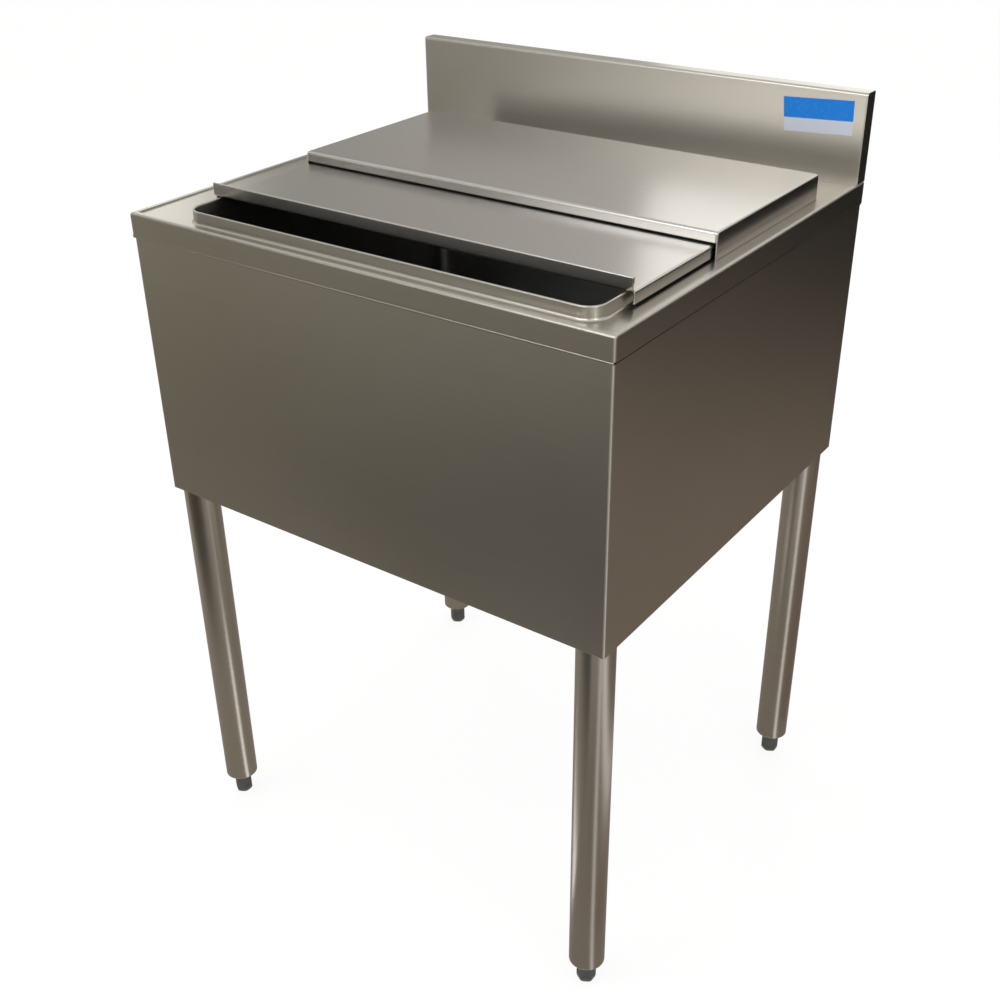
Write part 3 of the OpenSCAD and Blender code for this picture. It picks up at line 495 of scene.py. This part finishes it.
def turned_stainless(name, tone, shade, axis):
    """Stainless from the lathe: tool marks 0.35 mm apart, as noise of the radius and height
    about the lathe's axis, so they run in rings."""
    material = bpy.data.materials.new(name)
    tree = blank(material)
    mark, mark_depth, mark_strength, smooth, rough = 0.00035, 0.00001, 0.4, 0.18, 0.34
    place = add(tree, "TexCoord", {}).outputs["Object"]
    middle = add(tree, "Mapping", {"Vector": place, "Location": (-axis[0], -axis[1], 0.0)})
    parts = add(tree, "SeparateXYZ", {0: middle.outputs[0]})
    flat = add(tree, "CombineXYZ", {"X": parts.outputs[0], "Y": parts.outputs[1]})
    radius = add(tree, "VectorMath", {0: flat.outputs[0]}, operation="LENGTH")
    ring = add(tree, "CombineXYZ", {"X": radius.outputs["Value"], "Y": parts.outputs[2]})
    marks = add(tree, "TexNoise", {"Vector": ring.outputs[0], "Scale": 1 / mark, "Detail": 1.0})
    colour = add(tree, "Mix", {0: marks.outputs[0], 6: linear(shade), 7: linear(tone)},
                 data_type="RGBA")
    gloss = add(tree, "MapRange", {"Value": marks.outputs[0], "To Min": smooth,
                                   "To Max": rough})
    relief = add(tree, "Bump", {"Height": marks.outputs[0], "Strength": mark_strength,
                                "Distance": mark_depth})
    steel = add(tree, "BsdfPrincipled", {
        "Base Color": colour.outputs[2], "Metallic": 1.0, "Roughness": gloss.outputs[0],
        "Normal": relief.outputs[0]})
    add(tree, "OutputMaterial", {"Surface": steel.outputs[0]})
    return material


drain_axis, facets = (-0.1275, -0.206875), 96
tail_pitch, tail_root, tail_crest, rows_a_turn = 0.00221, 0.0155, 0.0167, 8
bore, relief, seat, lip, flange = 0.0133, 0.0157, 0.0193, 0.0213, 0.028
tail_low, thread_low, thread_high, relief_high = 0.445, 0.446, 0.481, 0.483
flange_low, flange_high, lip_high = 0.55375, 0.55475, 0.55675
thread_rows = int((thread_high - thread_low) / tail_pitch * rows_a_turn)
thread_z = np.linspace(thread_low, thread_high, thread_rows)
below_thread = [(bore, tail_low), (tail_root, tail_low)]
above_thread = [(relief, thread_high), (relief, relief_high), (tail_crest, relief_high),
                (tail_crest, flange_low), (flange, flange_low), (flange, flange_high),
                (lip, lip_high), (seat, lip_high), (seat, flange_high), (bore, flange_high)]
threaded = [(tail_root, height) for height in thread_z]
outline = np.array(below_thread + threaded + above_thread)
angle = np.linspace(0, 2 * np.pi, facets, endpoint=False)
radius = np.repeat(outline[:, :1], facets, axis=1)
height = outline[:, 1:]
on_thread = slice(len(below_thread), len(below_thread) + thread_rows)
radius[on_thread] += (tail_crest - tail_root) * tooth(height[on_thread], angle, tail_pitch)
drain_points = around_axis(radius, height, angle, drain_axis)
drain = closed(skin("drain_fitting", drain_points, round_first=True, round_second=True))
drain_steel = turned_stainless("turned_stainless_bar", "#c6c3bc", "#aaa79f", drain_axis)
drain.data.materials.append(drain_steel)
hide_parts("drain_body")
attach(drain, "bin")
dress(drain_steel, "drain_strainer", "drain_locknut")

# Lids: two folded covers of stainless sheet, brushed along the width. The front one slides in
# under the rear one and has an upturned flange for a handle; the rear one stands on the deck.
lid_steel = brushed_stainless("brushed_stainless_lid", "#b9b5af", "#b5b1ab", 0.22)
dress(lid_steel, "front_lid", "rear_lid")

# Legs: 1-5/8 inch welded stainless tube, belt-polished as it turns, so its grain runs round
# it and each leg mirrors its surroundings in upright streaks. Its top takes a plug.
def turned(name, outline, centre):
    """Closed ring of an outline of (radius, height) pairs carried round an upright axis."""
    facets = 96
    outline = np.array(outline)
    angle = np.linspace(0, 2 * np.pi, facets, endpoint=False)
    points = around_axis(outline[:, :1], outline[:, 1:], angle, centre)
    return closed(skin(name, points, round_first=True, round_second=True))


leg_x, leg_y, leg_r, leg_bore = 0.2808, 0.245875, 0.02065, 0.01915
leg_low, leg_high = 0.03265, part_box("leg_front_left")[1].z
places = {"front_left": (-leg_x, -leg_y), "front_right": (leg_x, -leg_y),
          "back_left": (-leg_x, leg_y), "back_right": (leg_x, leg_y)}
leg_steel = brushed_stainless("polished_stainless_tube", "#b0aaa0", "#a8a298", 0.3, wave=0.0,
                              smear=0.35)
leg_outline = ((leg_r, leg_low), (leg_r, leg_high), (leg_bore, leg_high), (leg_bore, leg_low))
for corner, centre in places.items():
    leg = turned("leg_tube_" + corner, leg_outline, centre)
    leg.data.materials.append(leg_steel)
    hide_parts("leg_" + corner)
    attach(leg, "bin")

# Foot sleeves: stainless, turned to a taper that narrows from the tube to the foot, pressed
# into the tube's end and polished with it. The foot's stud screws up into them.
nose_z, nose_r, stud_bore, tube_fit = 0.02465, 0.012, 0.00606, 0.0001
eased, sleeve_top = 0.0008, 0.0718
sleeve_outline = (
    (stud_bore, nose_z), (nose_r - eased, nose_z), (nose_r, nose_z + eased),
    (leg_r - eased, leg_low - 2 * eased), (leg_r, leg_low - eased), (leg_r, leg_low - tube_fit),
    (leg_bore - tube_fit, leg_low - tube_fit), (leg_bore - tube_fit, sleeve_top),
    (stud_bore, sleeve_top))
for corner, centre in places.items():
    sleeve = turned("foot_sleeve_" + corner, sleeve_outline, centre)
    sleeve.data.materials.append(leg_steel)
    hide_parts("sleeve_" + corner)
    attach(sleeve, "bin")

# Leg plugs with their studs, nuts and washers: mild steel, bright zinc plated and passivated,
# a cold grey with a faint bluish patchiness.
dress(fine_grained("bright_zinc_plated_steel", "#bcc1c6", "#a0a5aa", 0.0007, 0.00002, 0.3, 1.0),
      *("leg_plug_" + corner for corner in places), "leg_nuts", "leg_washers")

# Adjustable feet: a hexagon and an M12 stud, moulded in one of glass-filled nylon. The stud
# screws into the leg's sleeve, and the hexagon's ends are rounded off as on a nut.
hex_half, hex_sides, head_top, head_rows, foot_facets = 0.0098, 6, 0.024, 97, 72
# the cone that rounds the hexagon's ends off: its radius at each height
head_z = (0.0, 0.0004, 0.0012, head_top - 0.0009, head_top)
head_r = (0.0101, 0.0109, 0.0113, 0.0113, 0.0104)
stud_top, stud_tip, stud_pitch, stud_root, stud_crest = 0.0615, 0.0012, 0.00175, 0.0053, 0.006
foot_material = fine_grained("glass_filled_nylon", "#555856", "#434644", 0.0005, 0.00004, 0.5)
angle = np.linspace(0, 2 * np.pi, foot_facets, endpoint=False)
half_side = np.pi / hex_sides
# the hexagon's radius is half its width over the cosine of the angle off its nearest flat
off_flat = (angle + half_side) % (2 * half_side) - half_side
head_heights = np.linspace(0, head_top, head_rows)
cone = np.interp(head_heights, head_z, head_r)
head = np.minimum(cone[:, None], hex_half / np.cos(off_flat)[None, :])
stud_heights = np.arange(head_top, stud_top, stud_pitch / rows_a_turn)
lead_in = np.interp(stud_heights, (stud_top - stud_tip, stud_top), (stud_crest, stud_root))
ridge = stud_root + (stud_crest - stud_root) * tooth(stud_heights[:, None], angle, stud_pitch)
stud = np.minimum(ridge, lead_in[:, None])
pole = np.zeros((1, len(angle)))
radius = np.vstack((pole, head, stud, pole))
height = np.concatenate(([0.0], head_heights, stud_heights, [stud_heights[-1]]))
for corner, centre in places.items():
    foot_points = around_axis(radius, height[:, None], angle, centre)
    foot = closed(skin("adjustable_foot_" + corner, foot_points, round_second=True))
    foot.data.materials.append(foot_material)
    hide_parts("foot_" + corner)
    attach(foot, "foot_" + corner)

# Sticker on the backsplash: coated vinyl, blue over a pale field, pressed on by hand and a
# little askew. It is left bare. Its coating is rubbed down to a slight gloss. The lid isn't
# shown mirroring it, because in the photograph it doesn't.
splash_face_y, vinyl, rows, columns = 0.248875, 0.0002, 9, 17
# its corners on the splash's face, as X and Z, and straight shares between them
low_left, low_right = np.array((0.2114, 0.8692)), np.array((0.2919, 0.8737))
top_left, top_right = np.array((0.2075, 0.9065)), np.array((0.2905, 0.9113))
up, across = np.meshgrid(np.linspace(0, 1, rows), np.linspace(0, 1, columns), indexing="ij")
across, up = across[..., None], up[..., None]
low_edge = low_left + across * (low_right - low_left)
top_edge = top_left + across * (top_right - top_left)
face = low_edge + up * (top_edge - low_edge)
depth = np.full(face.shape[:2], splash_face_y)
sticker_points = np.stack((face[..., 0], depth, face[..., 1]), axis=-1)
sticker = skin("splash_sticker", sticker_points)
wall = sticker.modifiers.new("vinyl", "SOLIDIFY")
wall.thickness = vinyl
wall.offset = 1.0

printed_vinyl = bpy.data.materials.new("printed_coated_vinyl")
tree = blank(printed_vinyl)
# the two fields meet where Z less the slant times X is the border
slant, border, blur = 0.057, 0.8722, 0.0003
scuff, worn_from, worn_full, most_worn, smooth, rough = 0.004, 0.5, 0.8, 0.06, 0.3, 0.5
place = add(tree, "TexCoord", {}).outputs["Object"]
rise = add(tree, "VectorMath", {0: place, 1: (-slant, 0.0, 1.0)}, operation="DOT_PRODUCT")
upper = add(tree, "MapRange", {"Value": rise.outputs["Value"], "From Min": border - blur,
                               "From Max": border + blur})
field = add(tree, "Mix", {0: upper.outputs[0], 6: linear("#cfd6e2"), 7: linear("#0080e2")},
            data_type="RGBA")
rub = add(tree, "TexNoise", {"Vector": place, "Scale": 1 / scuff, "Detail": 3.0})
worn = add(tree, "MapRange", {"Value": rub.outputs[0], "From Min": worn_from,
                              "From Max": worn_full, "To Max": most_worn})
colour = add(tree, "Mix", {0: worn.outputs[0], 6: field.outputs[2], 7: linear("#c9cfd8")},
             data_type="RGBA")
gloss = add(tree, "MapRange", {"Value": rub.outputs[0], "To Min": smooth, "To Max": rough})
print_coat = add(tree, "BsdfPrincipled", {
    "Base Color": colour.outputs[2], "Roughness": gloss.outputs[0], "Specular IOR Level": 0.2,
    "Coat Weight": 0.05})
add(tree, "OutputMaterial", {"Surface": print_coat.outputs[0]})
sticker.data.materials.append(printed_vinyl)
sticker.visible_glossy = False
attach(sticker, "bin")
